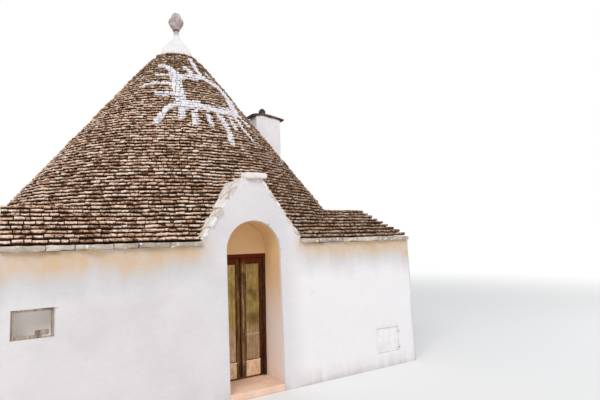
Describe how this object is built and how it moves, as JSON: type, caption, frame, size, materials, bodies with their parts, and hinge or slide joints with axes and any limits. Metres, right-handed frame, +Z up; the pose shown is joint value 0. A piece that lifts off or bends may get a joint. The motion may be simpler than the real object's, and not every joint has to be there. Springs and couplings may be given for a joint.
{
  "type": "trullo house",
  "caption": "Square whitewashed one-room house under a corbelled dry-stone cone, with a deep arched doorway, a pinnacle and a chimney.",
  "frame": {"origin": "on the ground, on the common axis of the cone and the doorway, midway between the front and rear walls", "axes": "+Z up, -Y towards the street front, +X towards the right party face seen from the street"},
  "size_m": [6.3, 7.4033, 7.245],
  "materials": {
    "white_plaster": "limewashed render, thick and uneven",
    "limestone": "bare limestone, worn",
    "roof_stone": "dry-laid limestone courses, weathered brown and grey",
    "dome_stone": "dressed limestone, dusty",
    "threshold_stone": "pinkish limestone, worn smooth",
    "finial_stone": "carved limestone, weathered",
    "door_wood": "weathered boards, old brown varnish",
    "frame_wood": "old dark brown varnish",
    "niche_wood": "bare weathered boards",
    "iron": "forged, rusty brown",
    "hatch_paint": "white paint, chalky"
  },
  "bodies": {
    "house": {"front_wall_left": "white_plaster", "front_wall_right": "white_plaster", "rear_wall": "white_plaster", "left_party_wall": "white_plaster", "right_party_wall": "white_plaster", "gable": "white_plaster", "tympanum": "white_plaster", "door_lintel": "white_plaster", "room_floor": "limestone", "threshold": "threshold_stone", "door_frame": "frame_wood", "pintles": "iron", "niche_frame": "niche_wood", "hatch_frame": "hatch_paint", "hatch_pins": "iron", "corner_vaults": "dome_stone", "wall_head": "limestone", "front_eaves": "limestone", "rear_eaves": "limestone", "front_skirts": "roof_stone", "rear_skirts": "roof_stone", "cone_band_1": "roof_stone", "cone_band_2": "roof_stone", "cone_band_3": "roof_stone", "cone_band_4": "roof_stone", "cone_band_5": "roof_stone", "dome_foot": "dome_stone", "dome_lower": "dome_stone", "dome_middle": "dome_stone", "dome_upper": "dome_stone", "dome_keystone": "dome_stone", "gable_slab": "limestone", "pinnacle_cap": "white_plaster", "pinnacle_collar": "finial_stone", "pinnacle_bowl": "finial_stone", "pinnacle_ball": "finial_stone", "chimney_stack": "white_plaster", "chimney_cap": "limestone", "chimney_ball": "finial_stone"},
    "left_door": {"left_leaf": "door_wood", "left_straps": "iron"},
    "right_door": {"right_leaf": "door_wood", "right_straps": "iron"},
    "hatch": {"hatch_door": "hatch_paint", "hatch_straps": "iron"}
  },
  "joints": [
    {"name": "left_door_hinge", "type": "hinge", "parent": "house", "child": "left_door", "pos_m": [-0.392, -3.054, 1], "axis": [0, 0, 1], "range_deg": [0, 90]},
    {"name": "right_door_hinge", "type": "hinge", "parent": "house", "child": "right_door", "pos_m": [0.392, -3.054, 1], "axis": [0, 0, -1], "range_deg": [0, 90]},
    {"name": "hatch_hinge", "type": "hinge", "parent": "house", "child": "hatch", "pos_m": [2.7665, -3.69703, 0.23023], "axis": [0, 0.039, 0.9992], "range_deg": [0, 100]}
  ]
}
